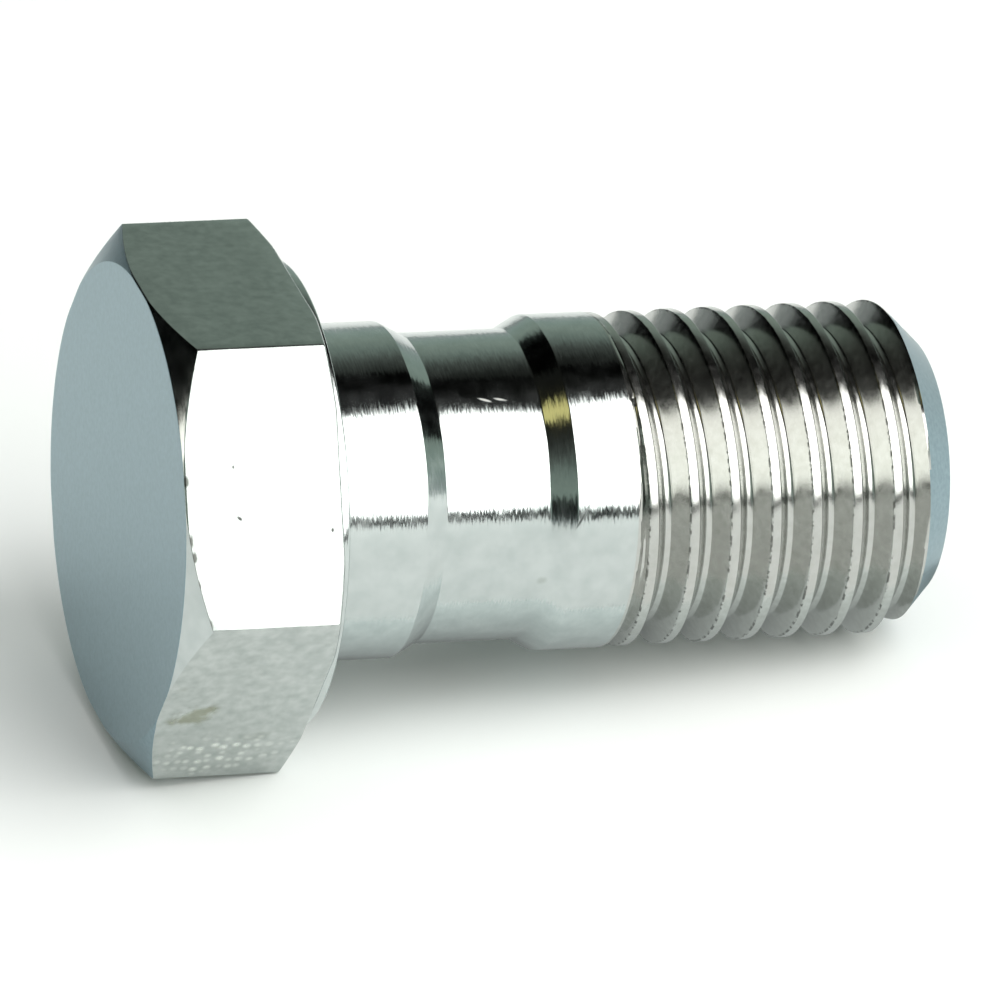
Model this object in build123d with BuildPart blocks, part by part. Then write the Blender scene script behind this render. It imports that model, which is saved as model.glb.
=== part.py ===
from build123d import *
from math import atan, cos, degrees, floor, radians, sin, tan
import os

# Banjo bolt, M10 x 1.25, turned from hexagon bar, for one brake or clutch hose eye.
# It is drawn standing on its head: the axis is Z, the seat under the head is at height 0, and
# angles about the axis are counted from where the thread starts. It is laid down at the end.
# All lengths are in millimetres and all angles in degrees.

# Hexagon head
hexagon_sides = 6
across_flats = 14.0
hexagon_height = 4.7
hexagon_edge_radius = 0.12
outer_face_diameter = 14.1
outer_chamfer_angle = 30
outer_face_edge_radius = 0.1
rear_bevel_diameter = 14.5
rear_bevel_angle = 18

# Raised washer face under the head, the seat for the sealing washer
washer_face_diameter = 13.86
washer_face_height = 0.25
under_head_relief = 0.2

# Shank: a waist between two collars, so that fluid can flow round it inside the hose eye
length_under_head = 19.3
collar_diameter = 9.84
seat_collar_length = 2.96
waist_diameter = 9.08
waist_length = 3.15
waist_cone_angle = 28.5
thread_collar_length = 1.93
collar_edge_radius = 0.1

# Metric fine right-hand thread with slightly truncated crests
thread_nominal_diameter = 10.0
thread_crest_diameter = 9.8
thread_pitch = 1.25
thread_flank_angle = 30
thread_start_depth = 0.73
thread_run_in_angle = 45
ridge_foot_depth = 0.1
end_face_diameter = 7.65
end_chamfer_angle = 45

# Fluid passages: a blind bore from the thread end, and one port from it to the waist
bore_diameter = 4.5
bore_past_port = 0.3
bore_mouth_chamfer = 0.3
drill_point_angle = 118
port_diameter = 2.8

# The flat that the bolt lies on, and the port, which is square to that flat
half_side_angle = 180 / hexagon_sides
lowest_flat_angle = 71
port_angle = lowest_flat_angle

# A cutter stands out this far beyond what it cuts
cutter_overhang = 0.5

# Radii of the turned steps
flat_radius = across_flats / 2
corner_radius = flat_radius / cos(radians(half_side_angle))
outer_face_radius = outer_face_diameter / 2
rear_bevel_radius = rear_bevel_diameter / 2
washer_face_radius = washer_face_diameter / 2
collar_radius = collar_diameter / 2
waist_radius = waist_diameter / 2
end_face_radius = end_face_diameter / 2
bore_radius = bore_diameter / 2
port_radius = port_diameter / 2

# Thread form: the ridge is half a pitch wide at the pitch radius, and its sharp triangle is
# cut off at the crest and at the root
flank_slope = tan(radians(thread_flank_angle))
triangle_height = thread_pitch / 2 / flank_slope
pitch_radius = thread_nominal_diameter / 2 - triangle_height * 3 / 8
root_radius = thread_nominal_diameter / 2 - triangle_height * 17 / 24
crest_radius = thread_crest_diameter / 2
foot_radius = root_radius - ridge_foot_depth
crest_half_width = thread_pitch / 4 - (crest_radius - pitch_radius) * flank_slope
foot_half_width = thread_pitch / 4 + (pitch_radius - foot_radius) * flank_slope

# Heights along the axis, from the outer face to the thread's full end
outer_face_height = -washer_face_height - hexagon_height
waist_cone_length = (collar_radius - waist_radius) / tan(radians(waist_cone_angle))
waist_start = seat_collar_length + waist_cone_length
waist_end = waist_start + waist_length
port_height = (waist_start + waist_end) / 2
thread_collar_start = waist_end + waist_cone_length
thread_collar_end = thread_collar_start + thread_collar_length
thread_start = thread_collar_end - thread_start_depth
run_in_end = thread_collar_end + (collar_radius - root_radius) / tan(radians(thread_run_in_angle))
end_chamfer_length = (crest_radius - end_face_radius) / tan(radians(end_chamfer_angle))
full_thread_end = length_under_head - end_chamfer_length

# Head: hexagon bar, turned to a chamfer round its outer face and to a shallow bevel behind
with BuildPart() as head:
    with BuildSketch(Plane.XY.offset(outer_face_height)) as hexagon:
        RegularPolygon(
            flat_radius,
            hexagon_sides,
            major_radius=False,
            rotation=lowest_flat_angle + half_side_angle,
        )
        fillet(hexagon.vertices(), hexagon_edge_radius)
    extrude(amount=hexagon_height)
    cut_radius = corner_radius + cutter_overhang
    chamfer_depth = (cut_radius - outer_face_radius) * tan(radians(outer_chamfer_angle))
    bevel_depth = (cut_radius - rear_bevel_radius) * tan(radians(rear_bevel_angle))
    outer_face_rim = (outer_face_radius, outer_face_height)
    with BuildSketch(Plane.XZ) as head_outline:
        with BuildLine():
            Polyline(
                (0, outer_face_height),
                outer_face_rim,
                (cut_radius, outer_face_height + chamfer_depth),
                (cut_radius, -washer_face_height - bevel_depth),
                (rear_bevel_radius, -washer_face_height),
                (0, -washer_face_height),
                close=True,
            )
        make_face()
        fillet(head_outline.vertices().sort_by_distance(outer_face_rim)[0], outer_face_edge_radius)
    revolve(axis=Axis.Z, mode=Mode.INTERSECT)

# Shank: washer face, both collars, the waist, and the cone that the thread runs out of
seat_corner = (collar_radius, 0)
with BuildPart() as shank:
    with BuildSketch(Plane.XZ) as shank_outline:
        with BuildLine():
            Polyline(
                (0, -washer_face_height - cutter_overhang),
                (washer_face_radius - cutter_overhang, -washer_face_height - cutter_overhang),
                (washer_face_radius, -washer_face_height),
                (washer_face_radius, 0),
                seat_corner,
                (collar_radius, seat_collar_length),
                (waist_radius, waist_start),
                (waist_radius, waist_end),
                (collar_radius, thread_collar_start),
                (collar_radius, thread_collar_end),
                (root_radius, run_in_end),
                (0, run_in_end),
                close=True,
            )
        make_face()
        chamfer(shank_outline.vertices().sort_by_distance(seat_corner)[0], under_head_relief)
        waist_corners = shank_outline.vertices().filter_by_position(
            Axis.Y, seat_collar_length, thread_collar_start
        )
        fillet(waist_corners.group_by(Axis.X)[-1], collar_edge_radius)
    revolve(axis=Axis.Z)

# Threaded end: a core and one helical ridge that starts inside the collar, cut to the end chamfer.
# The core's seam is turned half way round from the ridge's first face.
with BuildPart() as threaded_end:
    with BuildSketch(Plane((0, 0, thread_start), x_dir=(-1, 0, 0), z_dir=(0, 0, 1))):
        Circle(root_radius)
    extrude(amount=length_under_head - thread_start + cutter_overhang)
    with BuildLine() as ridge_path:
        Helix(
            pitch=thread_pitch,
            height=length_under_head - thread_start + foot_half_width,
            radius=root_radius,
            center=(0, 0, thread_start),
        )
    with BuildSketch(Plane((0, 0, thread_start), x_dir=(1, 0, 0), z_dir=(0, -1, 0))):
        with BuildLine():
            Polyline(
                (foot_radius, -foot_half_width),
                (crest_radius, -crest_half_width),
                (crest_radius, crest_half_width),
                (foot_radius, foot_half_width),
                close=True,
            )
        make_face()
    sweep(path=ridge_path.line, is_frenet=True)
    chamfer_run = cutter_overhang / tan(radians(end_chamfer_angle))
    with BuildSketch(Plane.XZ):
        with BuildLine():
            Polyline(
                (0, thread_start),
                (crest_radius + cutter_overhang, thread_start),
                (crest_radius + cutter_overhang, full_thread_end - chamfer_run),
                (end_face_radius, length_under_head),
                (0, length_under_head),
                close=True,
            )
        make_face()
    revolve(axis=Axis.Z, mode=Mode.INTERSECT)

# The whole bolt, standing on its head, with its bore and its port drilled
with BuildPart() as standing_bolt:
    add(head.part)
    add(shank.part)
    add(threaded_end.part)
    bore_floor = port_height - port_radius - bore_past_port
    bore_tip = bore_floor - bore_radius / tan(radians(drill_point_angle / 2))
    with BuildSketch(Plane.XZ):
        with BuildLine():
            Polyline(
                (0, bore_tip),
                (bore_radius, bore_floor),
                (bore_radius, length_under_head - bore_mouth_chamfer),
                (bore_radius + bore_mouth_chamfer + cutter_overhang, length_under_head + cutter_overhang),
                (0, length_under_head + cutter_overhang),
                close=True,
            )
        make_face()
    revolve(axis=Axis.Z, mode=Mode.SUBTRACT)
    port_direction = (cos(radians(port_angle)), sin(radians(port_angle)), 0)
    with BuildSketch(Plane((0, 0, port_height), z_dir=port_direction)):
        Circle(port_radius)
    extrude(amount=collar_radius, mode=Mode.SUBTRACT)

# Lying at rest: on the rear end of the lowest flat, and on the last full crest underneath
crest_underneath = thread_start + thread_pitch * lowest_flat_angle / 360
crests_beyond = floor((full_thread_end - crest_half_width - crest_underneath) / thread_pitch)
thread_contact = crest_underneath + crests_beyond * thread_pitch + crest_half_width
flat_end = -washer_face_height - max(flat_radius - rear_bevel_radius, 0) * tan(radians(rear_bevel_angle))
resting_tilt = degrees(atan((flat_radius - crest_radius) / (thread_contact - flat_end)))

with BuildPart() as banjo_bolt:
    with Locations(Rotation(0, 90 + resting_tilt, 0) * Rotation(0, 0, -lowest_flat_angle)):
        add(standing_bolt.part)

banjo_bolt.part.label = "banjo_bolt"

os.makedirs("parts", exist_ok=True)
export_step(banjo_bolt.part, "parts/banjo_bolt.step")
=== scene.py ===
"""The looks of a banjo bolt in nickel-plated steel, lying as it comes to rest on a pale table.

The mesh code works in millimetres in the bolt's own frame. There x runs along the axis from the
seat under the head, a station is a place along x, and an angle about the axis is counted from the
middle of the lowest flat. One matrix lays the finished mesh down and turns it into metres.
"""
import logging
from collections.abc import Sequence
from dataclasses import dataclass, field
from enum import Enum
from math import atan2, cos, hypot, pi, radians, sin, tan
from typing import Any

import bmesh
import bpy
import numpy as np
from bpy.types import Material, Mesh, Node, NodeTree, Object
from bpy.types import NodeSocket as Socket
from mathutils import Matrix, Vector


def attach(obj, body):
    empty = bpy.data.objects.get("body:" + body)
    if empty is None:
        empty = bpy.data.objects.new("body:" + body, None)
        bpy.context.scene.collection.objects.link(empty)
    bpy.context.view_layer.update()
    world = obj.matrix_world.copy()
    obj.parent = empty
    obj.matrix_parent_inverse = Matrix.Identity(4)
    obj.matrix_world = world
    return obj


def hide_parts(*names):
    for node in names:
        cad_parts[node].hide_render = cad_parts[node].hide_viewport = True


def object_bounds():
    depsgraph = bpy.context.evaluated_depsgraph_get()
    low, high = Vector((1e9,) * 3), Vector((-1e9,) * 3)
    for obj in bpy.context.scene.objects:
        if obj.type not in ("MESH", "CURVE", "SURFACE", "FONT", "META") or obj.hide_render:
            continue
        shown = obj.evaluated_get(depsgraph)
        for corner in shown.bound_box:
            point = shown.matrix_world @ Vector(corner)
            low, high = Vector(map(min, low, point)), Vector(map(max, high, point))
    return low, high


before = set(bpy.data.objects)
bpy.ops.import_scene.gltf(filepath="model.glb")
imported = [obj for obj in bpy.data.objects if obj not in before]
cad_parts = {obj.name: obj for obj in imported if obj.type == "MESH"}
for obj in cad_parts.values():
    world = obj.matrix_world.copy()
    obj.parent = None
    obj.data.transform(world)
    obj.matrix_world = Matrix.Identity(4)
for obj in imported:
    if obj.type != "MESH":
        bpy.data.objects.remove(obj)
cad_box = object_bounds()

logging.basicConfig(level=logging.INFO, format="%(levelname)s %(message)s")
log = logging.getLogger("banjo_bolt")

# A ring is an array with one number, angle or radius for each of its points.
MM = 0.001
ARC_STEPS = 4
Point = tuple[float, float, float]
Pair = tuple[float, float]
Outline = list[Pair]
Ring = np.ndarray
Inputs = dict[str | int, Any]


class Zone(Enum):
    """The surfaces of the bolt that were made in different ways. On the head's chamfer, two of them
    stand for painted light and painted shade.
    """

    OUTER_FACE = 0
    FLATS = 1
    SHANK = 2
    THREAD = 3
    BORE = 4


class Lay(Enum):
    """The way that the tool marks of a surface run."""

    AROUND_AXIS = "rings that follow each other along the axis"
    ACROSS_FACE = "rings that follow each other outwards"
    ALONG_AXIS = "streaks along the axis"


def linear(colour: str) -> tuple[float, float, float, float]:
    """Turns an sRGB hex colour to linear values.

    Args:
        colour: six hex digits.

    Returns:
        Red, green, blue and an alpha of 1.
    """
    channels = (int(colour[i:i + 2], 16) / 255 for i in (0, 2, 4))
    red, green, blue = (
        c / 12.92 if c <= 0.04045 else ((c + 0.055) / 1.055) ** 2.4 for c in channels
    )
    return red, green, blue, 1.0


class Nodes:
    """A node tree that starts empty, with short ways to add to it."""

    def __init__(self, tree: NodeTree) -> None:
        """Empties the tree."""
        self.tree = tree
        tree.nodes.clear()

    def add(self, kind: str, inputs: Inputs | None = None, **settings: Any) -> Node:
        """Adds a node.

        Args:
            kind: its type name.
            inputs: by name or number, a socket to link or a value to set.
            settings: its own properties.

        Returns:
            The new node.
        """
        node = self.tree.nodes.new(kind)
        for name, value in settings.items():
            setattr(node, name, value)
        for key, value in (inputs or {}).items():
            if isinstance(value, Socket):
                self.tree.links.new(value, node.inputs[key])
            else:
                node.inputs[key].default_value = value
        return node

    def math(self, operation: str, *terms: Any) -> Socket:
        """Adds one sum and returns its result."""
        return self.add("ShaderNodeMath", dict(enumerate(terms)), operation=operation).outputs[0]

    def graded(
        self, value: Socket, start: float, end: float, low: float = 0.0, high: float = 1.0
    ) -> Socket:
        """Turns a value between start and end to one between low and high."""
        inputs = {"Value": value, 1: start, 2: end, 3: low, 4: high}
        return self.add("ShaderNodeMapRange", inputs).outputs[0]

    def surface(self, kind: str, inputs: Inputs, owner: str = "Material") -> None:
        """Adds a shader and links it to the output of a material or of a world."""
        shader = self.add("ShaderNode" + kind, inputs).outputs[0]
        self.add("ShaderNodeOutput" + owner, {"Surface": shader})


def new_material(name: str) -> Material:
    """Makes a material that has a node tree."""
    material = bpy.data.materials.new(name)
    material.use_nodes = True
    return material


def linked(name: str, data: bpy.types.ID) -> Object:
    """Makes an object from its data and puts it in the scene."""
    item = bpy.data.objects.new(name, data)
    bpy.context.scene.collection.objects.link(item)
    return item


def evaluated_mesh(item: Object) -> Mesh:
    """Gives a plain mesh of an object as its modifiers leave it."""
    depsgraph = bpy.context.evaluated_depsgraph_get()
    return bpy.data.meshes.new_from_object(item.evaluated_get(depsgraph))


def rounded_outline(corners: Sequence[Point], steps: int) -> Outline:
    """Rounds the corners of an open outline.

    Args:
        corners: the two places and the radius of each corner.
        steps: how many chords make each rounded corner.

    Returns:
        The outline's points, in order.
    """
    points = [corners[0][:2]]
    for before, corner, after in zip(corners, corners[1:], corners[2:]):
        middle, radius = Vector(corner[:2]), corner[2]
        if not radius:
            points.append(corner[:2])
            continue
        back = (Vector(before[:2]) - middle).normalized()
        ahead = (Vector(after[:2]) - middle).normalized()
        half = back.angle(ahead) / 2
        centre = middle + (back + ahead).normalized() * radius / sin(half)
        start = middle + back * radius / tan(half) - centre
        end = middle + ahead * radius / tan(half) - centre
        first = atan2(start.y, start.x)
        turn = (atan2(end.y, end.x) - first + pi) % (2 * pi) - pi
        for step in range(steps + 1):
            angle = first + turn * step / steps
            points.append((centre.x + radius * cos(angle), centre.y + radius * sin(angle)))
    points.append(corners[-1][:2])
    return points


class Skin:
    """The closed surface of the bolt, collected ring by ring."""

    def __init__(self) -> None:
        """Starts with no points and no faces."""
        self.points: list[np.ndarray] = []
        self.faces: list[tuple[int, ...]] = []
        self.zones: list[int] = []
        self.count = 0

    def ring(self, station: Any, radius: Any, angle: Ring) -> Ring:
        """Adds a ring of points round the axis.

        Args:
            station: one place along the axis, or one for each point.
            radius: one distance from the axis, or one for each point.
            angle: the angle about the axis of each point, in radians.

        Returns:
            The numbers of the new points.
        """
        radius = np.broadcast_to(radius, angle.shape)
        place = np.broadcast_to(station, angle.shape)
        across, down = radius * np.sin(angle), -radius * np.cos(angle)
        self.points.append(np.column_stack((place, across, down)))
        numbers = np.arange(self.count, self.count + len(angle))
        self.count += len(angle)
        return numbers

    def band(self, first: Ring, second: Ring, zone: Zone | Sequence[Zone]) -> Ring:
        """Joins two rings by four-sided faces.

        Args:
            first: the numbers of the first ring's points.
            second: the numbers of the second ring's points.
            zone: what the faces are part of, as one zone or as one for each face.

        Returns:
            The second ring.
        """
        corners = (first, np.roll(first, -1), np.roll(second, -1), second)
        self.faces.extend(zip(*(ring.tolist() for ring in corners)))
        zones = [zone] * len(first) if isinstance(zone, Zone) else zone
        self.zones.extend(each.value for each in zones)
        return second

    def fan(self, ring: Ring, station: float, zone: Zone) -> None:
        """Closes a ring with a point on the axis.

        Args:
            ring: the numbers of the ring's points.
            station: the place of the new point along the axis.
            zone: what the new faces are part of.
        """
        tip = self.ring(station, 0.0, np.zeros(1))[0]
        self.faces.extend((int(a), int(b), int(tip)) for a, b in zip(ring, np.roll(ring, -1)))
        self.zones.extend([zone.value] * len(ring))

    def lathe(self, outline: Outline, angle: Ring, zone: Zone) -> list[Ring]:
        """Turns an outline about the axis.

        Args:
            outline: station and radius of each point.
            angle: the angles of the columns, in radians.
            zone: what the faces are part of.

        Returns:
            The rings, one for each point of the outline.
        """
        rings = [self.ring(station, radius, angle) for station, radius in outline]
        for first, second in zip(rings, rings[1:]):
            self.band(first, second, zone)
        return rings

    def take(self, mesh: Mesh, zones: Sequence[Zone]) -> None:
        """Adds all of a mesh.

        Args:
            mesh: the mesh, in the bolt's own frame.
            zones: what each of its faces is part of.
        """
        places = np.empty(len(mesh.vertices) * 3, np.float32)
        mesh.vertices.foreach_get("co", places)
        self.points.append(places.reshape(-1, 3).astype(float))
        self.faces.extend(tuple(v + self.count for v in face.vertices) for face in mesh.polygons)
        self.zones.extend(zone.value for zone in zones)
        self.count += len(mesh.vertices)


@dataclass(frozen=True)
class Head:
    """The hexagon head with its turned outer face, its rear bevel and its washer face."""

    across_flats: float = 14.0
    corner_radius: float = 0.12
    outer_station: float = -4.95
    outer_diameter: float = 13.98
    chamfer_angle: float = 30.0
    rear_station: float = -0.25
    rear_diameter: float = 14.5
    rear_angle: float = 18.0
    washer_diameter: float = 13.86
    front_edge: float = 0.07
    corner_edge: float = 0.02
    rear_edge: float = 0.1
    washer_edge: float = 0.08
    middle_radius: float = 0.4
    face_rings: tuple[float, ...] = (2.5, 4.5, 6.0, 6.8)
    seat_ring: float = 6.2
    flat_columns: int = 28
    corner_columns: int = 4
    # The arc of the chamfer, in degrees, that gets the brighter finish as painted light.
    bright_arc: Pair = (-179.4, -60.0)

    def columns(self) -> tuple[Ring, Ring]:
        """Walks round the hexagon.

        Returns:
            The angle and the distance from the axis of each column.
        """
        apothem = self.across_flats / 2
        centre = (apothem - self.corner_radius) / cos(pi / 6)
        half_flat = centre * sin(pi / 6)
        across = np.linspace(-half_flat, half_flat, self.flat_columns + 1)
        side = [complex(apothem, y) for y in across]
        for step in range(1, self.corner_columns):
            turn = pi / 3 * step / self.corner_columns
            side.append(centre * np.exp(1j * pi / 6) + self.corner_radius * np.exp(1j * turn))
        outline = np.concatenate([np.array(side) * np.exp(1j * pi / 3 * k) for k in range(6)])
        return np.angle(outline), np.abs(outline)

    def build(self, skin: Skin) -> Ring:
        """Builds the head from the middle of its outer face to the middle of its washer face.

        Args:
            skin: the surface that gets the head.

        Returns:
            The ring on the washer face that the shank joins.
        """
        angle, reach = self.columns()
        face_radius, tip_angle = self.outer_diameter / 2, radians(self.chamfer_angle)
        edge = self.front_edge
        inner = np.minimum(face_radius - edge * tan(tip_angle / 2), reach - edge)
        inner_station = self.outer_station + edge
        rim_edge = np.clip(inner + 2 * edge - reach, self.corner_edge, edge)
        rim_radius = reach - rim_edge
        rim = self.outer_station + (rim_radius - face_radius) * tan(tip_angle)
        rim_station = np.maximum(rim + rim_edge / cos(tip_angle), inner_station)

        last = skin.ring(self.outer_station, self.middle_radius, angle)
        skin.fan(last, self.outer_station, Zone.OUTER_FACE)
        for radius in self.face_rings:
            last = skin.band(last, skin.ring(self.outer_station, radius, angle), Zone.OUTER_FACE)
        for turn in np.radians(np.linspace(-90, self.chamfer_angle - 90, 4)):
            ring = skin.ring(inner_station + edge * sin(turn), inner + edge * cos(turn), angle)
            last = skin.band(last, ring, Zone.OUTER_FACE)
        # Painted light: beside the front flat, on the side towards the camera, the chamfer takes
        # the shank's brighter finish, and elsewhere the outer face's darker satin with its painted
        # shade.
        low, high = (radians(end) for end in self.bright_arc)
        bright = (angle > low) & (angle < high)
        chamfer = [Zone.SHANK if shines else Zone.OUTER_FACE for shines in bright]
        turn = radians(self.chamfer_angle - 90)
        for share in (0.33, 0.67, 1.0):
            round_edge = edge + (rim_edge - edge) * share
            station = inner_station + (rim_station - inner_station) * share + round_edge * sin(turn)
            radius = inner + (rim_radius - inner) * share + round_edge * cos(turn)
            last = skin.band(last, skin.ring(station, radius, angle), chamfer)
        for turn in np.radians(np.linspace(self.chamfer_angle - 90, 0, 5))[1:]:
            station, radius = rim_station + rim_edge * sin(turn), rim_radius + rim_edge * cos(turn)
            last = skin.band(last, skin.ring(station, radius, angle), Zone.FLATS)

        edge = self.rear_edge
        rear_radius, rear_angle = self.rear_diameter / 2, radians(self.rear_angle)
        back = np.minimum(rear_radius - edge * tan(rear_angle / 2), reach - edge)
        back_station = self.rear_station - edge
        bevel = self.rear_station - (reach - edge - rear_radius) * tan(rear_angle)
        bevel_station = np.minimum(bevel - edge / cos(rear_angle), back_station)
        for share in (0.25, 0.5, 0.75):
            station = rim_station + (bevel_station - rim_station) * share
            last = skin.band(last, skin.ring(station, reach, angle), Zone.FLATS)
        for turn in np.radians(np.linspace(0, 90 - self.rear_angle, 4)):
            station, radius = bevel_station + edge * sin(turn), reach - edge + edge * cos(turn)
            last = skin.band(last, skin.ring(station, radius, angle), Zone.FLATS)
        for turn in np.radians(np.linspace(90 - self.rear_angle, 90, 3)):
            ring = skin.ring(back_station + edge * sin(turn), back + edge * cos(turn), angle)
            last = skin.band(last, ring, Zone.SHANK)

        washer = self.washer_diameter / 2
        corners = (
            (self.rear_station, washer, 0),
            (0, washer, self.washer_edge),
            (0, self.seat_ring, 0),
        )
        rings = skin.lathe(rounded_outline(corners, ARC_STEPS), angle, Zone.SHANK)
        skin.band(last, rings[0], Zone.SHANK)
        return rings[-1]


@dataclass(frozen=True)
class Shank:
    """The two collars and the waist between them."""

    collar_radius: float = 4.92
    waist_radius: float = 4.54
    seat_collar_length: float = 2.96
    waist_length: float = 3.15
    cone_angle: float = 28.5
    last_station: float = 9.36
    under_head_radius: float = 0.2
    collar_edge: float = 0.08
    waist_corner: float = 0.1
    seat_ring: float = 5.6

    def outline(self) -> Outline:
        """Gives the outline from the seat to where the threaded end begins."""
        cone = (self.collar_radius - self.waist_radius) / tan(radians(self.cone_angle))
        waist_start = self.seat_collar_length + cone
        waist_end = waist_start + self.waist_length
        corners = (
            (0, self.seat_ring, 0),
            (0, self.collar_radius, self.under_head_radius),
            (self.seat_collar_length, self.collar_radius, self.collar_edge),
            (waist_start, self.waist_radius, self.waist_corner),
            (waist_end, self.waist_radius, self.waist_corner),
            (waist_end + cone, self.collar_radius, self.collar_edge),
            (self.last_station, self.collar_radius, 0),
        )
        return rounded_outline(corners, ARC_STEPS)

    def build(self, skin: Skin, angle: Ring, seat: Ring) -> None:
        """Builds the shank on the head.

        Args:
            skin: the surface that gets the shank.
            angle: the angles of its columns, in radians.
            seat: the head's last ring.
        """
        rings = skin.lathe(self.outline(), angle, Zone.SHANK)
        skin.band(seat, rings[0], Zone.SHANK)


@dataclass(frozen=True)
class ThreadedEnd:
    """The fine right-hand thread, from its run-in at the collar to the end chamfer."""

    pitch: float = 1.25
    crest_radius: float = 4.9
    pitch_radius: float = 4.594
    root_radius: float = 4.2332
    flank_angle: float = 30.0
    start_station: float = 8.713
    start_angle: float = -71.0
    collar_radius: float = 4.92
    collar_end: float = 9.443
    first_station: float = 9.36
    end_station: float = 19.3
    end_face_radius: float = 3.825
    turns: int = 9
    columns: int = 192
    crest_edge: float = 0.03
    root_corner: float = 0.1
    flank_rows: tuple[float, ...] = (0.8, 0.6, 0.4, 0.2)
    weld_distance: float = 0.0005

    def angles(self) -> Ring:
        """Gives the angles of the columns, in radians."""
        return radians(self.start_angle) + np.arange(self.columns) * 2 * pi / self.columns

    def crest_station(self) -> float:
        """Gives the place of the first crest's middle over the middle of the lowest flat."""
        return self.start_station - self.pitch * self.start_angle / 360

    def profile(self) -> Object:
        """Draws one pitch of the thread's profile, from root to root, as points along x and y."""
        slope = tan(radians(self.flank_angle))
        crest = self.pitch / 4 - (self.crest_radius - self.pitch_radius) * slope
        root = self.pitch / 4 + (self.pitch_radius - self.root_radius) * slope
        corners = (
            (-self.pitch / 2, self.root_radius, 0),
            (-root, self.root_radius, self.root_corner),
            (-crest, self.crest_radius, self.crest_edge),
            (0, self.crest_radius, 0),
        )
        half = rounded_outline(corners, ARC_STEPS)
        # The flank lies between the root's arc and the crest's.
        flank_end = ARC_STEPS + 2
        flank = half[flank_end - 1:flank_end + 1]
        for share in self.flank_rows:
            half.insert(flank_end, tuple(a + (b - a) * share for a, b in zip(*flank)))
        points = half + [(-x, y) for x, y in reversed(half[:-1])]
        edges = [(i, i + 1) for i in range(len(points) - 1)]
        mesh = bpy.data.meshes.new("thread_profile")
        mesh.from_pydata([(x, y, 0) for x, y in points], edges, [])
        return linked("thread_profile", mesh)

    def tree(self, values: dict[str, Any]) -> NodeTree:
        """Builds the node tree that winds the profile round the axis.

        Args:
            values: what it is given, by name.

        Returns:
            The tree. It bends a sheet of points, profile by turns, to a helix, keeps it between its
            first and its last station, and cuts it to the run-in and the end chamfer.
        """
        tree = bpy.data.node_groups.new("helical_thread", "GeometryNodeTree")
        for name, value in values.items():
            kind = {int: "Int", float: "Float"}.get(type(value), type(value).__name__)
            tree.interface.new_socket(name, in_out="INPUT", socket_type="NodeSocket" + kind)
        tree.interface.new_socket("Geometry", in_out="OUTPUT", socket_type="NodeSocketGeometry")
        nodes = Nodes(tree)
        add, math = nodes.add, nodes.math
        given = add("NodeGroupInput").outputs

        turns = given["Turns"]
        shape = add("GeometryNodeObjectInfo", {"Object": given["Profile"]}).outputs["Geometry"]
        rows = add("GeometryNodeAttributeDomainSize", {0: shape}).outputs["Point Count"]
        last_row = math("SUBTRACT", rows, 1)
        length = math("ADD", math("MULTIPLY", turns, given["Columns Per Turn"]), 1)
        size = {"Size X": last_row, "Size Y": turns, "Vertices X": rows, "Vertices Y": length}
        sheet = add("GeometryNodeMeshGrid", size).outputs["Mesh"]
        place = add("GeometryNodeInputPosition").outputs[0]
        flat = add("ShaderNodeSeparateXYZ", {0: place}).outputs
        row = math("ADD", flat["X"], math("MULTIPLY", last_row, 0.5))
        turn = math("ADD", flat["Y"], math("MULTIPLY", turns, 0.5))
        source = {"Geometry": shape, "Value": place, "Index": math("ROUND", row)}
        settings = {"data_type": "FLOAT_VECTOR", "domain": "POINT"}
        sample = add("GeometryNodeSampleIndex", source, **settings).outputs[0]
        drawn = add("ShaderNodeSeparateXYZ", {0: sample}).outputs

        advance = math("MULTIPLY", given["Pitch"], turn)
        advance = math("ADD", advance, given["Start Station"])
        station = math("ADD", advance, drawn["X"])
        station = math("MAXIMUM", station, given["First Station"])
        station = math("MINIMUM", station, given["End Station"])
        collar = given["Collar Radius"]
        past_collar = math("SUBTRACT", station, given["Collar End"])
        run_in = math("MINIMUM", math("SUBTRACT", collar, past_collar), collar)
        to_end = math("SUBTRACT", given["End Station"], station)
        chamfer = math("ADD", given["End Face Radius"], to_end)
        radius = math("MINIMUM", math("MAXIMUM", drawn["Y"], run_in), chamfer)
        angle = math("ADD", math("MULTIPLY", turn, 2 * pi), given["Start Angle"])
        across = math("MULTIPLY", radius, math("SINE", angle))
        down = math("MULTIPLY", radius, math("COSINE", angle))
        wound = {"X": station, "Y": across, "Z": math("MULTIPLY", down, -1)}
        position = add("ShaderNodeCombineXYZ", wound).outputs[0]

        steps = (
            ("SetPosition", {"Position": position}),
            ("MergeByDistance", {"Distance": given["Weld Distance"]}),
            ("RealizeInstances", {}),
            ("SetMaterial", {"Material": given["Material"]}),
        )
        for kind, inputs in steps:
            sheet = add("GeometryNode" + kind, {"Geometry": sheet, **inputs}).outputs[0]
        add("NodeGroupOutput", {"Geometry": sheet})
        return tree

    def zone(self, place: Vector) -> Zone:
        """Tells whether a place is on the turned end chamfer or on the thread."""
        chamfer = self.end_face_radius + self.end_station - place.x
        return Zone.OUTER_FACE if hypot(place.y, place.z) > chamfer - 0.01 else Zone.THREAD

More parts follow.
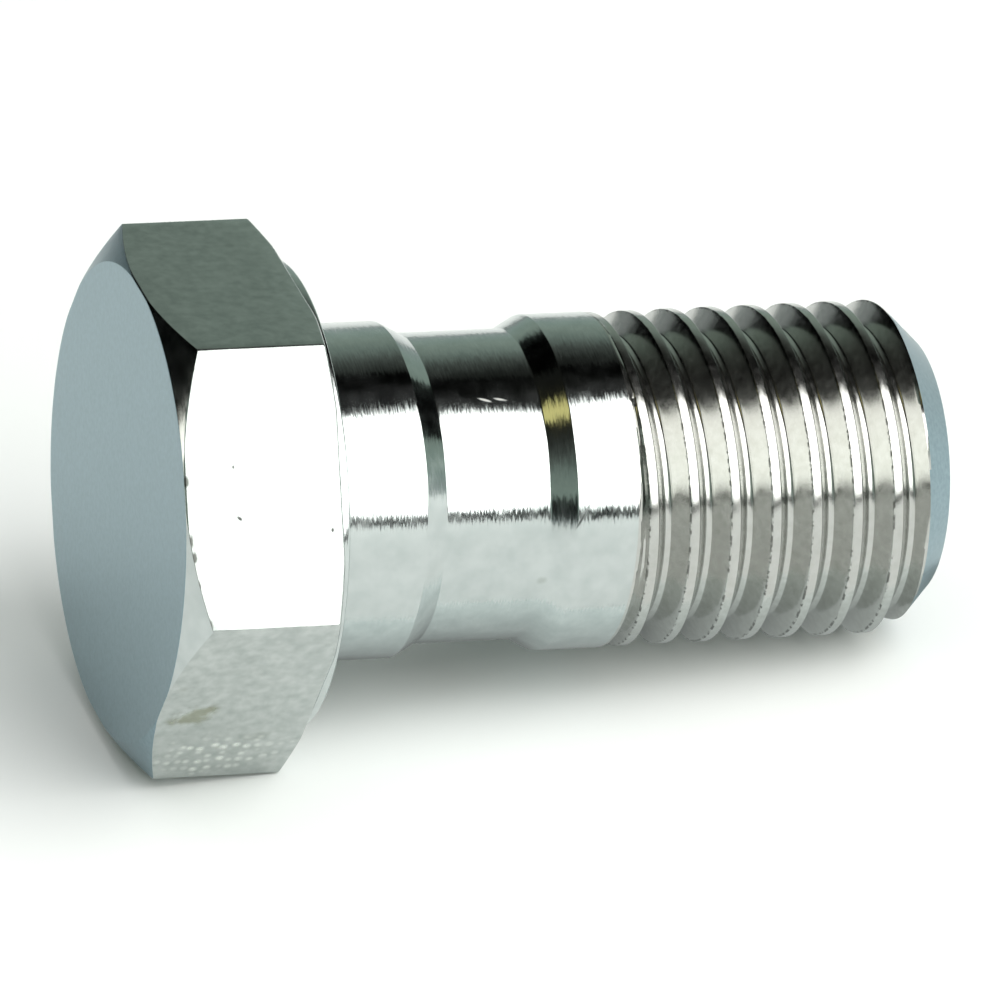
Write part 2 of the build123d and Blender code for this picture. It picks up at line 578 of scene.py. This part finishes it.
    def build(self, skin: Skin, material: Material) -> None:
        """Winds the thread and adds it to the skin.

        Args:
            skin: the surface that gets the threaded end.
            material: the finish of the thread.
        """
        profile = self.profile()
        values = {
            "Profile": profile,
            "Columns Per Turn": self.columns,
            "Turns": self.turns,
            "Pitch": self.pitch,
            "Start Station": self.start_station,
            "Start Angle": radians(self.start_angle),
            "Collar Radius": self.collar_radius,
            "Collar End": self.collar_end,
            "First Station": self.first_station,
            "End Station": self.end_station,
            "End Face Radius": self.end_face_radius,
            "Weld Distance": self.weld_distance,
            "Material": material,
        }
        tree = self.tree(values)
        carrier = linked("thread", bpy.data.meshes.new("thread"))
        winding = carrier.modifiers.new("helical_thread", "NODES")
        winding.node_group = tree
        for item in tree.interface.items_tree:
            if item.in_out == "INPUT":
                winding[item.identifier] = values[item.name]
        mesh = evaluated_mesh(carrier)
        carrier.modifiers.remove(winding)
        skin.take(mesh, [self.zone(face.center) for face in mesh.polygons])
        for helper in (carrier, profile):
            bpy.data.objects.remove(helper)
        bpy.data.meshes.remove(mesh)


@dataclass(frozen=True)
class Passages:
    """The blind bore from the thread end, and the port from it to the waist."""

    end_station: float = 19.3
    end_face_radius: float = 3.825
    bore_radius: float = 2.25
    mouth_chamfer: float = 0.3
    floor_station: float = 3.535
    point_angle: float = 118.0
    port_station: float = 5.235
    port_radius: float = 1.4
    port_angle: float = 0.0
    port_reach: float = 5.2
    port_columns: int = 72
    mouth_edge: float = 0.05
    floor_edge: float = 0.1
    arc_steps: int = 3

    def build(self, skin: Skin, angle: Ring) -> None:
        """Builds the end face and the bore.

        Args:
            skin: the surface that gets them.
            angle: the angles of their columns, in radians.
        """
        mouth = self.bore_radius + self.mouth_chamfer
        face = [(self.end_station, self.end_face_radius), (self.end_station, mouth)]
        skin.lathe(face, angle, Zone.OUTER_FACE)
        slope = tan(radians(90 - self.point_angle / 2))
        corners = (
            (self.end_station, mouth, 0),
            (self.end_station - self.mouth_chamfer, self.bore_radius, self.mouth_edge),
            (self.floor_station, self.bore_radius, self.floor_edge),
            (self.floor_station - 1, self.bore_radius - 1 / slope, 0),
        )
        rings = skin.lathe(rounded_outline(corners, self.arc_steps), angle, Zone.BORE)
        depth = self.bore_radius / tan(radians(self.point_angle / 2))
        skin.fan(rings[-1], self.floor_station - depth, Zone.BORE)

    def drill(self, materials: list[Material]) -> Object:
        """Makes the drill that cuts the port, as a closed object in the bolt's own frame."""
        shape = bmesh.new()
        size = {"radius1": self.port_radius, "radius2": self.port_radius, "depth": self.port_reach}
        bmesh.ops.create_cone(shape, cap_ends=True, segments=self.port_columns, **size)
        for face in shape.faces:
            face.material_index = Zone.BORE.value
            face.smooth = True
        turn = Matrix.Rotation(radians(self.port_angle) - pi, 4, "X")
        lift = Matrix.Translation((0, 0, self.port_reach / 2))
        shape.transform(Matrix.Translation((self.port_station, 0, 0)) @ turn @ lift)
        mesh = bpy.data.meshes.new("port_drill")
        shape.to_mesh(mesh)
        shape.free()
        for material in materials:
            mesh.materials.append(material)
        return linked("port_drill", mesh)


@dataclass(frozen=True)
class Burr:
    """A broken dark line of painted reflection along the crest, at a burr, which fades by distance,
    by a noise and towards the root.
    """

    station: float
    pitch: float
    colour: str
    line: Pair = (0.015, 0.03)
    chips: Pair = (0.48, 0.56)
    crest: Pair = (4.8, 4.87)
    chip_size: float = 0.22
    strength: float = 0.7


@dataclass(frozen=True)
class Waver:
    """How the rings of a turned surface lean to and fro."""

    lean: float
    radius: float = 4.9
    shortening: float = 0.12
    spacing: float = 0.06


@dataclass(frozen=True)
class PlatedFinish:
    """Bright nickel plate over steel, as it looks on one kind of machined surface.

    Nickel plate follows the tool marks below it, so the marks decide how the reflections break up.
    Marks and mottle have a size and a height.
    """

    name: str
    colour: str
    shade: str
    roughness: Pair
    lay: Lay
    marks: Pair
    mottle: Pair
    mottle_range: Pair = (0.3, 0.7)
    streak_shortening: float = 0.06
    waver: Waver | None = None
    burr: Burr | None = None


FINISHES: dict[Zone, PlatedFinish] = {
    # Faced and tumbled: satin and more even than the rest. Its darker, cooler colour is painted
    # shade, for the shaded table that this face, the satin part of the head's chamfer and the end
    # chamfer reflect.
    Zone.OUTER_FACE: PlatedFinish(
        "faced_steel_plate_with_painted_shade", "90A5AD", "7F959D", (0.30, 0.36), Lay.ACROSS_FACE,
        marks=(0.12, 0.0001), mottle=(0.14, 0.0004),
    ),
    # Drawn hexagon bar: soft mottling, and reflections drawn out a little along the bar.
    Zone.FLATS: PlatedFinish(
        "nickel_plate_on_drawn_bar", "BDC2C0", "A6ACAA", (0.25, 0.27), Lay.ALONG_AXIS,
        marks=(0.08, 0.0005), mottle=(0.34, 0.0004),
    ),
    # Finely turned: close rings that break the edges of the reflections.
    Zone.SHANK: PlatedFinish(
        "nickel_plate_on_turned_steel", "C3C9C8", "B6BDBC", (0.10, 0.17), Lay.AROUND_AXIS,
        marks=(0.06, 0.0010), mottle=(0.6, 0.0009), waver=Waver(0.13),
    ),
    # Cut thread: brighter flanks, and a burr 0.136 mm from the middle of the crest, drawn as a dark
    # line of painted reflection.
    Zone.THREAD: PlatedFinish(
        "nickel_plate_on_cut_thread", "C0C1BE", "B5B6B2", (0.14, 0.22), Lay.ALONG_AXIS,
        marks=(0.05, 0.0003), mottle=(0.25, 0.0006),
        burr=Burr(ThreadedEnd().crest_station() - 0.136, ThreadedEnd().pitch, "2A2924"),
    ),
    # Drilled: coarse rings, and thin, dull plate.
    Zone.BORE: PlatedFinish(
        "nickel_plate_in_drilled_hole", "B9B9B0", "A3A398", (0.28, 0.40), Lay.AROUND_AXIS,
        marks=(0.15, 0.0012), mottle=(0.5, 0.0010),
    ),
}


class Trace(Enum):
    """What wear and handling left on the plate. The burr colour is also painted reflection, and the
    dent colour painted highlight.
    """

    STAIN = ("85876C", 0.30, 0.60)
    FILM = ("8A8F88", 0.25, 0.35)
    SPECK = ("1B1A17", 0.45, 0.85)
    BURR = ("3A3A34", 0.35, 0.80)
    SCRATCH = ("F4F4F0", 0.60, 0.90)
    DENTS = ("EEF1EC", 0.28, 0.85)


@dataclass(frozen=True)
class Blemish:
    """A mark on the plate, as a soft ragged ellipse. Dent glints, which are painted highlights,
    show only in the middles of cells.
    """

    trace: Trace
    zone: Zone
    station: float
    angle: float
    radius: float
    across: float
    length: float
    width: float
    turn: float = 0.0
    depth: float = 0.25
    raggedness: float = 1.5
    fade: Pair = (0.45, 1.05)
    cell_size: float = 0.33
    cell_shift: float = 0.5
    cell_fade: Pair = (0.15, 0.5)

    def frame(self) -> tuple[Vector, Vector]:
        """Gives the mark's centre in the bolt's own frame, and its rotation."""
        own = Matrix.Rotation(radians(self.angle), 3, "X")
        centre = own @ Vector((self.station, self.across, -self.radius))
        return centre, Vector((own @ Matrix.Rotation(radians(self.turn), 3, "Z")).to_euler())


def on_flat(trace: Trace, angle: float, station: float, across: float, *size: float) -> Blemish:
    """Gives a mark on a flat, by its distance from the flat's middle, its size and its turn."""
    return Blemish(trace, Zone.FLATS, station, angle, Head().across_flats / 2, across, *size)


# Station, distance from the flat's middle, length and width of each burr on the front flat's turned
# edge, drawn dark as painted reflection.
EDGE_BURR_REFLECTIONS = (
    (-4.90, -0.30, 0.09, 0.16), (-4.84, 1.42, 0.08, 0.22), (-4.76, 1.88, 0.08, 0.20),
    (-4.66, 2.71, 0.08, 0.26), (-4.42, 3.80, 0.10, 0.20), (-4.49, -3.54, 0.07, 0.16),
)
BLEMISHES: tuple[Blemish, ...] = (
    # Dried cleaning fluid on the flat below the front one, as a dull olive film.
    on_flat(Trace.STAIN, -60, -3.86, 0.56, 0.80, 0.48, -30),
    on_flat(Trace.FILM, -60, -1.66, 1.85, 0.60, 0.24, -12),
    on_flat(Trace.FILM, -60, -4.55, -0.95, 0.20, 0.20),
    # Rows of small dents that a gripping jaw left near the lowest corner, drawn as bright spots of
    # painted highlight.
    on_flat(Trace.DENTS, -60, -2.75, 2.75, 2.3, 1.10, -7),
    # Pits in the front flat, and burrs along its turned edge, drawn dark as painted reflection.
    on_flat(Trace.SPECK, -120, -3.47, -0.66, 0.06, 0.10),
    on_flat(Trace.SPECK, -120, -3.35, 0.83, 0.10, 0.05, 40),
    on_flat(Trace.SPECK, -120, -0.60, 1.28, 0.05, 0.07),
    *(on_flat(Trace.BURR, -120, *place_and_size) for place_and_size in EDGE_BURR_REFLECTIONS),
    # Two short bright scratches on the waist, a long dark one on the collar, and a faint ring.
    Blemish(Trace.SCRATCH, Zone.SHANK, 5.15, -151.0, 4.54, 0, 0.22, 0.05, 20),
    Blemish(Trace.SCRATCH, Zone.SHANK, 5.62, -151.0, 4.54, 0, 0.24, 0.05, 14),
    Blemish(Trace.SPECK, Zone.SHANK, 7.66, -105.8, 4.92, 0, 0.42, 0.05, -60),
    Blemish(Trace.FILM, Zone.SHANK, 6.72, -79.6, 4.54, 0, 0.20, 0.17),
)


class PlatedMaterial(Nodes):
    """The material of one plated surface, with patterns in millimetres in the bolt's own frame."""

    def __init__(self, finish: PlatedFinish, tilt: float) -> None:
        """Starts the material with what its patterns share.

        Args:
            finish: what the surface is.
            tilt: how far the lying bolt's axis dips towards its thread end, in radians.
        """
        self.finish, self.tilt = finish, tilt
        self.material = new_material(finish.name)
        super().__init__(self.material.node_tree)
        place = self.add("ShaderNodeTexCoord").outputs["Object"]
        turned = {"Vector": place, "Rotation": (0, -tilt, 0), "Scale": (1 / MM, 1 / MM, 1 / MM)}
        self.own = self.add("ShaderNodeMapping", turned).outputs[0]
        self.x, self.y, self.z = self.add("ShaderNodeSeparateXYZ", {0: self.own}).outputs
        squares = [self.math("POWER", side, 2) for side in (self.y, self.z)]
        self.distance = self.math("SQRT", self.math("ADD", *squares))
        self.mottle = self.noise(self.own, finish.mottle[0], 3.0, 0.5)

    def vector(self, operation: str, inputs: Inputs) -> Socket:
        """Adds one sum of vectors and returns its result."""
        return self.add("ShaderNodeVectorMath", inputs, operation=operation).outputs[0]

    def noise(self, place: Socket, size: float, detail: float, roughness: float) -> Socket:
        """Adds a noise.

        Args:
            place: a vector, or a value for a noise along a line.
            size: the size of its grains.
            detail: how many finer layers it has.
            roughness: how much each finer layer counts.

        Returns:
            Its value, from 0 to 1.
        """
        kind, way = ("1D", "W") if place.type == "VALUE" else ("3D", "Vector")
        inputs = {way: place, "Scale": 1 / size, "Detail": detail, "Roughness": roughness}
        return self.add("ShaderNodeTexNoise", inputs, noise_dimensions=kind).outputs[0]

    def mix(self, kind: str, share: Any, first: Any, second: Any) -> Socket:
        """Mixes two colours ("RGBA") or two values ("FLOAT") by the share of the second."""
        inputs = {"Factor": share, "A": first, "B": second}
        return self.add("ShaderNodeMix", inputs, data_type=kind).outputs["Result"]

    def tool_marks(self) -> Socket:
        """Draws the marks that the tool left, as heights from 0 to 1."""
        if self.finish.lay is Lay.ALONG_AXIS:
            drawn_out = {"Vector": self.own, "Scale": (self.finish.streak_shortening, 1, 1)}
            place = self.add("ShaderNodeMapping", drawn_out).outputs[0]
        else:
            place = self.x if self.finish.lay is Lay.AROUND_AXIS else self.distance
        return self.noise(place, self.finish.marks[0], 3.0, 0.6)

    def burr_mask(self, burr: Burr) -> Socket:
        """Masks the dark line of painted reflection at the burr that cutting left along the edge of
        the crest that faces the head.

        Args:
            burr: where it winds, and how it looks.

        Returns:
            The mask, from 0 to the burr's strength.
        """
        down = self.math("MULTIPLY", self.z, -1)
        turn = self.math("DIVIDE", self.math("ARCTAN2", self.y, down), 2 * pi)
        along = self.math("SUBTRACT", self.x, burr.station)
        phase = self.math("SUBTRACT", self.math("DIVIDE", along, burr.pitch), turn)
        share = self.math("FRACT", self.math("ADD", phase, 0.5))
        gap = self.math("ABSOLUTE", self.math("SUBTRACT", share, 0.5))
        line = self.graded(gap, *burr.line, 1, 0)
        chips = self.noise(self.own, burr.chip_size, 2.0, 0.6)
        broken = self.graded(chips, *burr.chips, 0, burr.strength)
        outside = self.graded(self.distance, *burr.crest)
        return self.math("MULTIPLY", self.math("MULTIPLY", line, broken), outside)

    def leaning(self, normal: Socket, waver: Waver) -> Socket:
        """Leans a normal to and fro, so that the rings break a reflection's edge into teeth.

        The real rings are too fine to show, so these are drawn 1.5 pixels wide.

        Args:
            normal: the normal without the rings.
            waver: how far the rings lean, and how long and close they are.

        Returns:
            The normal with the rings.
        """
        around = self.math("ARCTAN2", self.y, self.z)
        arc = self.math("MULTIPLY", around, waver.radius)
        arc = self.math("MULTIPLY", arc, waver.shortening)
        ring = self.add("ShaderNodeCombineXYZ", {"X": self.x, "Y": arc})
        streaks = self.noise(ring.outputs[0], waver.spacing, 2.0, 0.7)
        lean = self.math("MULTIPLY", self.math("SUBTRACT", streaks, 0.5), waver.lean)
        axis = (cos(self.tilt), 0.0, -sin(self.tilt))
        sideways = self.vector("CROSS_PRODUCT", {0: normal, 1: axis})
        shift = self.vector("SCALE", {0: sideways, "Scale": lean})
        return self.vector("NORMALIZE", {0: self.vector("ADD", {0: normal, 1: shift})})

    def blemish_mask(self, mark: Blemish, strength: float) -> Socket:
        """Masks one mark.

        Args:
            mark: what it is and where.
            strength: the mask's value in the middle of the mark.

        Returns:
            The mask, which is 0 outside the mark.
        """
        centre, rotation = mark.frame()
        inputs = {"Vector": self.own, "Location": centre, "Rotation": rotation}
        inputs["Scale"] = (mark.length, mark.width, mark.depth)
        shape = self.add("ShaderNodeMapping", inputs, vector_type="TEXTURE").outputs[0]
        away = self.add("ShaderNodeVectorMath", {0: shape}, operation="LENGTH").outputs["Value"]
        uneven = self.math("SUBTRACT", self.mottle, 0.5)
        ragged = self.math("MULTIPLY_ADD", uneven, mark.raggedness, away)
        mask = self.graded(ragged, *mark.fade, strength, 0)
        # The dents' glints are painted highlights, only in the middles of cells.
        if mark.trace is Trace.DENTS:
            cells = {"Vector": self.own, "Scale": 1 / mark.cell_size}
            cells["Randomness"] = mark.cell_shift
            distance = self.add("ShaderNodeTexVoronoi", cells).outputs["Distance"]
            mask = self.math("MULTIPLY", mask, self.graded(distance, *mark.cell_fade, 1, 0))
        return mask

    def build(self, blemishes: Sequence[Blemish]) -> Material:
        """Builds the metal with its patterns.

        Args:
            blemishes: the marks on it.

        Returns:
            The material.
        """
        finish = self.finish
        height = self.math("MULTIPLY", self.tool_marks(), finish.marks[1])
        height = self.math("MULTIPLY_ADD", self.mottle, finish.mottle[1], height)
        relief = {"Strength": 1.0, "Distance": MM, "Height": height}
        normal = self.add("ShaderNodeBump", relief).outputs[0]
        if finish.waver:
            normal = self.leaning(normal, finish.waver)

        roughness = self.graded(self.mottle, *finish.mottle_range, *finish.roughness)
        patches = self.graded(self.mottle, *finish.mottle_range)
        colour = self.mix("RGBA", patches, linear(finish.shade), linear(finish.colour))
        # The thread's burr is drawn as a dark line of painted reflection.
        if finish.burr:
            mask = self.burr_mask(finish.burr)
            colour = self.mix("RGBA", mask, colour, linear(finish.burr.colour))
        for mark in blemishes:
            # Each trace's colour: for burrs it is painted reflection, and for dents painted
            # highlight.
            mark_colour, dullness, strength = mark.trace.value
            mask = self.blemish_mask(mark, strength)
            colour = self.mix("RGBA", mask, colour, linear(mark_colour))
            roughness = self.mix("FLOAT", mask, roughness, dullness)

        metal = {"Base Color": colour, "Metallic": 1.0, "Roughness": roughness, "Normal": normal}
        self.surface("BsdfPrincipled", metal)
        return self.material


@dataclass(frozen=True)
class BanjoBolt:
    """The whole bolt, turned, threaded and plated as one piece."""

    head: Head = field(default_factory=Head)
    shank: Shank = field(default_factory=Shank)
    threaded_end: ThreadedEnd = field(default_factory=ThreadedEnd)
    passages: Passages = field(default_factory=Passages)
    tilt: float = radians(6.6208)
    sharp_angle: float = 35.0
    weld_distance: float = 0.001

    def finished_copy(self, source: Object, name: str) -> Object:
        """Applies an object's modifiers and returns the result as a new object."""
        mesh = evaluated_mesh(source)
        copy = linked(name, mesh)
        old = source.data
        bpy.data.objects.remove(source)
        bpy.data.meshes.remove(old)
        mesh.name = name
        return copy

    def closed_mesh(self, skin: Skin, materials: list[Material]) -> Object:
        """Merges the skin to one closed mesh with its faces outwards.

        Args:
            skin: the collected surface.
            materials: one for each zone, in order.

        Returns:
            The object, still in the bolt's own frame.
        """
        mesh = bpy.data.meshes.new("blank")
        mesh.from_pydata(np.concatenate(skin.points).tolist(), [], skin.faces)
        for material in materials:
            mesh.materials.append(material)
        mesh.polygons.foreach_set("material_index", skin.zones)
        shape = bmesh.new()
        shape.from_mesh(mesh)
        bmesh.ops.remove_doubles(shape, verts=shape.verts, dist=self.weld_distance)
        bmesh.ops.recalc_face_normals(shape, faces=shape.faces)
        open_edges = sum(not edge.is_manifold for edge in shape.edges)
        if open_edges:
            log.warning("the skin has %d open edges", open_edges)
        shape.to_mesh(mesh)
        shape.free()
        return linked("blank", mesh)

    def build(self) -> Object:
        """Builds the bolt, drills its port, and lays it down.

        Returns:
            The finished object at the origin, in metres.
        """
        materials = []
        for zone in Zone:
            marks = [mark for mark in BLEMISHES if mark.zone is zone]
            materials.append(PlatedMaterial(FINISHES[zone], self.tilt).build(marks))
        skin = Skin()
        columns = self.threaded_end.angles()
        seat = self.head.build(skin)
        self.shank.build(skin, columns, seat)
        self.threaded_end.build(skin, materials[Zone.THREAD.value])
        self.passages.build(skin, columns)
        blank = self.closed_mesh(skin, materials)

        drill = self.passages.drill(materials)
        cut = blank.modifiers.new("port", "BOOLEAN")
        cut.operation = "DIFFERENCE"
        cut.solver = "EXACT"
        cut.object = drill
        cut.material_mode = "INDEX"
        drilled = self.finished_copy(blank, "drilled")
        bpy.data.objects.remove(drill)

        drilled.data.shade_smooth()
        drilled.data.set_sharp_from_angle(angle=radians(self.sharp_angle))
        weighting = drilled.modifiers.new("weighted_normals", "WEIGHTED_NORMAL")
        weighting.mode = "FACE_AREA"
        weighting.keep_sharp = True
        drilled.data.transform(Matrix.Rotation(self.tilt, 4, "Y") @ Matrix.Scale(MM, 4))
        return self.finished_copy(drilled, "plated_banjo_bolt")


@dataclass(frozen=True)
class Card:
    """A flat panel of the studio, by where it stands as seen from the bolt.

    Bearings are counted from the camera's side, to the right, and distances are in metres.
    """

    name: str
    bearing: float
    elevation: float
    width: float
    height: float
    distance: float
    colour: str
    strength: float


@dataclass(frozen=True)
class Studio:
    """A pale table, one large soft light from the front right, and dark surroundings."""

    towards_camera: Point = (-0.28295, -0.95913, 0.0)
    key: Card = Card("key_softbox", 60, 37.5, 0.58, 0.60, 0.5, "FFFEFB", 2.75)
    fill: Card = Card("table_light", 0, 90, 0.9, 0.9, 0.62, "FFFFFF", 0.86)
    cards: tuple[Card, ...] = (
        Card("cream_card", -85, 2, 0.16, 0.15, 0.45, "FFFAEF", 2.4),
        Card("gold_card", -60, 63, 0.10, 0.09, 0.42, "EBDF93", 1.35),
        Card("left_flag", -122, 33, 0.54, 0.50, 0.44, "000000", 0.0),
        Card("low_back_card", -152, 0, 0.05, 0.013, 0.06, "959C9A", 1.0),
        Card("right_flag", 122, 39, 0.26, 0.42, 0.44, "000000", 0.0),
        Card("front_flag", -27, 9, 0.24, 0.11, 0.42, "050505", 0.3),
        Card("foot_flag", 45, 3, 0.56, 0.05, 0.44, "000000", 0.0),
    )
    table_colour: str = "F4F6F5"
    table_size: float = 3.0
    # The glowing sheet of painted shade under the shank, which only the metal sees.
    sheet_x: Pair = (0.0012, 0.022)
    sheet_y: Pair = (-0.006, 0.008)
    sheet_lift: float = 0.00002
    sheet_colour: str = "EBF4F0"
    sheet_levels: Pair = (1.18, 0.25)
    room_levels: tuple[tuple[float, str], ...] = (
        (0.0, "A3AEAC"), (0.16, "9BADA4"), (0.34, "97A69B"), (0.52, "849289"),
        (0.67, "555A55"), (0.79, "282A27"), (0.95, "161614"),
    )

    def direction(self, bearing: float, elevation: float) -> Vector:
        """Gives the unit vector towards a place in the studio, from a bearing and an elevation."""
        front = Vector(self.towards_camera).normalized()
        right = Vector((-front.y, front.x, 0))
        level = front * cos(radians(bearing)) + right * sin(radians(bearing))
        return level * cos(radians(elevation)) + Vector((0, 0, sin(radians(elevation))))

    def rectangle(
        self, name: str, material: Material, x: Sequence[float], y: Sequence[float]
    ) -> Object:
        """Adds a flat rectangle at height 0.

        Args:
            name: its name.
            material: what it is made of.
            x: its start and end along x.
            y: its start and end along y, backwards for one that faces down.

        Returns:
            The rectangle.
        """
        mesh = bpy.data.meshes.new(name)
        corners = [(x[0], y[0], 0), (x[1], y[0], 0), (x[1], y[1], 0), (x[0], y[1], 0)]
        mesh.from_pydata(corners, [], [(0, 1, 2, 3)])
        mesh.materials.append(material)
        return linked(name, mesh)

    def hang(self, item: Object, card: Card) -> None:
        """Turns a lamp or a panel to the bolt where it stands, and hides it from the camera.

        Args:
            item: an object whose own -Z looks at what it lights.
            card: where it goes.
        """
        away = self.direction(card.bearing, card.elevation)
        item.location = away * card.distance
        item.rotation_euler = away.to_track_quat("Z", "Y").to_euler()
        item.visible_camera = False

    def lamp(self, card: Card, in_reflections: bool) -> None:
        """Adds a soft rectangular lamp.

        Args:
            card: its place, size, colour and radiance.
            in_reflections: whether it shows in the metal.
        """
        data = bpy.data.lights.new(card.name, "AREA")
        data.shape = "RECTANGLE"
        data.size, data.size_y = card.width, card.height
        data.color = linear(card.colour)[:3]
        # A lamp's power is four times its area for a radiance of 1.
        data.energy = 4 * card.width * card.height * card.strength
        item = linked(card.name, data)
        self.hang(item, card)
        item.visible_glossy = in_reflections

    def panel(self, card: Card) -> None:
        """Adds a panel that gives off an even, weak light, or none."""
        x, y = card.width / 2, card.height / 2
        material = new_material(card.name)
        glow = {"Color": linear(card.colour), "Strength": card.strength}
        Nodes(material.node_tree).surface("Emission", glow)
        item = self.rectangle(card.name, material, (-x, x), (y, -y))
        self.hang(item, card)
        item.visible_shadow = False
        item.visible_diffuse = False

    def shaded_sheet(self) -> None:
        """Lays a glowing sheet of painted shade under the shank, which shows only in the metal.

        It gets darker towards the bolt and stands in for the shade of the table close to what lies
        on it.
        """
        material = new_material("painted_table_shade")
        nodes = Nodes(material.node_tree)
        place = nodes.add("ShaderNodeTexCoord").outputs["Object"]
        depth = nodes.add("ShaderNodeSeparateXYZ", {0: place}).outputs["Y"]
        level = nodes.graded(depth, self.sheet_y[0], 0.0, *self.sheet_levels)
        nodes.surface("Emission", {"Color": linear(self.sheet_colour), "Strength": level})
        sheet = self.rectangle("shaded_sheet", material, self.sheet_x, self.sheet_y)
        sheet.location.z = cad_box[0][2] + self.sheet_lift
        sheet.visible_camera = False
        sheet.visible_shadow = False
        sheet.visible_diffuse = False

    def table(self) -> None:
        """Adds the pale table top that the bolt lies on."""
        material = new_material("matt_white_card")
        colour = linear(self.table_colour)
        matt = {"Base Color": colour, "Roughness": 0.9, "Specular IOR Level": 0.1}
        Nodes(material.node_tree).surface("BsdfPrincipled", matt)
        side = (-self.table_size / 2, self.table_size / 2)
        top = self.rectangle("table_top", material, side, side)
        top.location.z = cad_box[0][2]

    def surroundings(self) -> None:
        """Sets a dim room that is grey-green low down and dark overhead."""
        world = bpy.data.worlds.new("dim_room")
        world.use_nodes = True
        bpy.context.scene.world = world
        nodes = Nodes(world.node_tree)
        way = nodes.add("ShaderNodeTexCoord").outputs["Generated"]
        rise = nodes.add("ShaderNodeSeparateXYZ", {0: way}).outputs["Z"]
        ramp = nodes.add("ShaderNodeValToRGB", {"Fac": rise})
        stops = ramp.color_ramp.elements
        while len(stops) < len(self.room_levels):
            stops.new(0.5)
        for stop, (height, colour) in zip(stops, self.room_levels):
            stop.position = height
            stop.color = linear(colour)
        nodes.surface("Background", {"Color": ramp.outputs["Color"], "Strength": 1.0}, "World")

    def build(self) -> None:
        """Builds the table, the lamps, the cards and the room."""
        self.table()
        self.lamp(self.key, True)
        self.lamp(self.fill, False)
        for card in self.cards:
            self.panel(card)
        self.shaded_sheet()
        self.surroundings()


@dataclass(frozen=True)
class Viewpoint:
    """The camera at the photograph's viewing angle. Its place is in metres."""

    place: Point = (-0.1002854864, -0.36248812285, 0.20956864768)
    ahead: Point = (0.24709419, 0.83756184, -0.48727264)
    right: Point = (0.95758815, -0.28798634, -0.00942367)
    up: Point = (0.14822078, 0.46427797, 0.87319904)
    lens: float = 532.8
    sensor: float = 36.0
    clip: Pair = (0.01, 3.0)

    def build(self) -> None:
        """Adds the camera and makes it the scene's own."""
        data = bpy.data.cameras.new("camera")
        data.lens, data.sensor_width = self.lens, self.sensor
        data.clip_start, data.clip_end = self.clip
        camera = linked("camera", data)
        axes = Matrix((self.right, self.up, -Vector(self.ahead))).transposed()
        camera.matrix_world = Matrix.Translation(self.place) @ axes.to_4x4()
        bpy.context.scene.camera = camera


def report(piece: Object) -> None:
    """Logs a piece's name, size and number of triangles."""
    size = " x ".join(f"{edge / MM:.2f}" for edge in piece.dimensions)
    triangles = sum(len(face.vertices) - 2 for face in piece.data.polygons)
    log.info("%s: %s mm, %d triangles", piece.name, size, triangles)


def main() -> None:
    """Builds the camera, the bolt and the studio."""
    scene = bpy.context.scene
    scene.view_settings.view_transform = "Standard"
    Viewpoint().build()
    bolt = BanjoBolt().build()
    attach(bolt, "root")
    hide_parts("banjo_bolt")
    report(bolt)
    Studio().build()


if __name__ == "__main__":
    main()
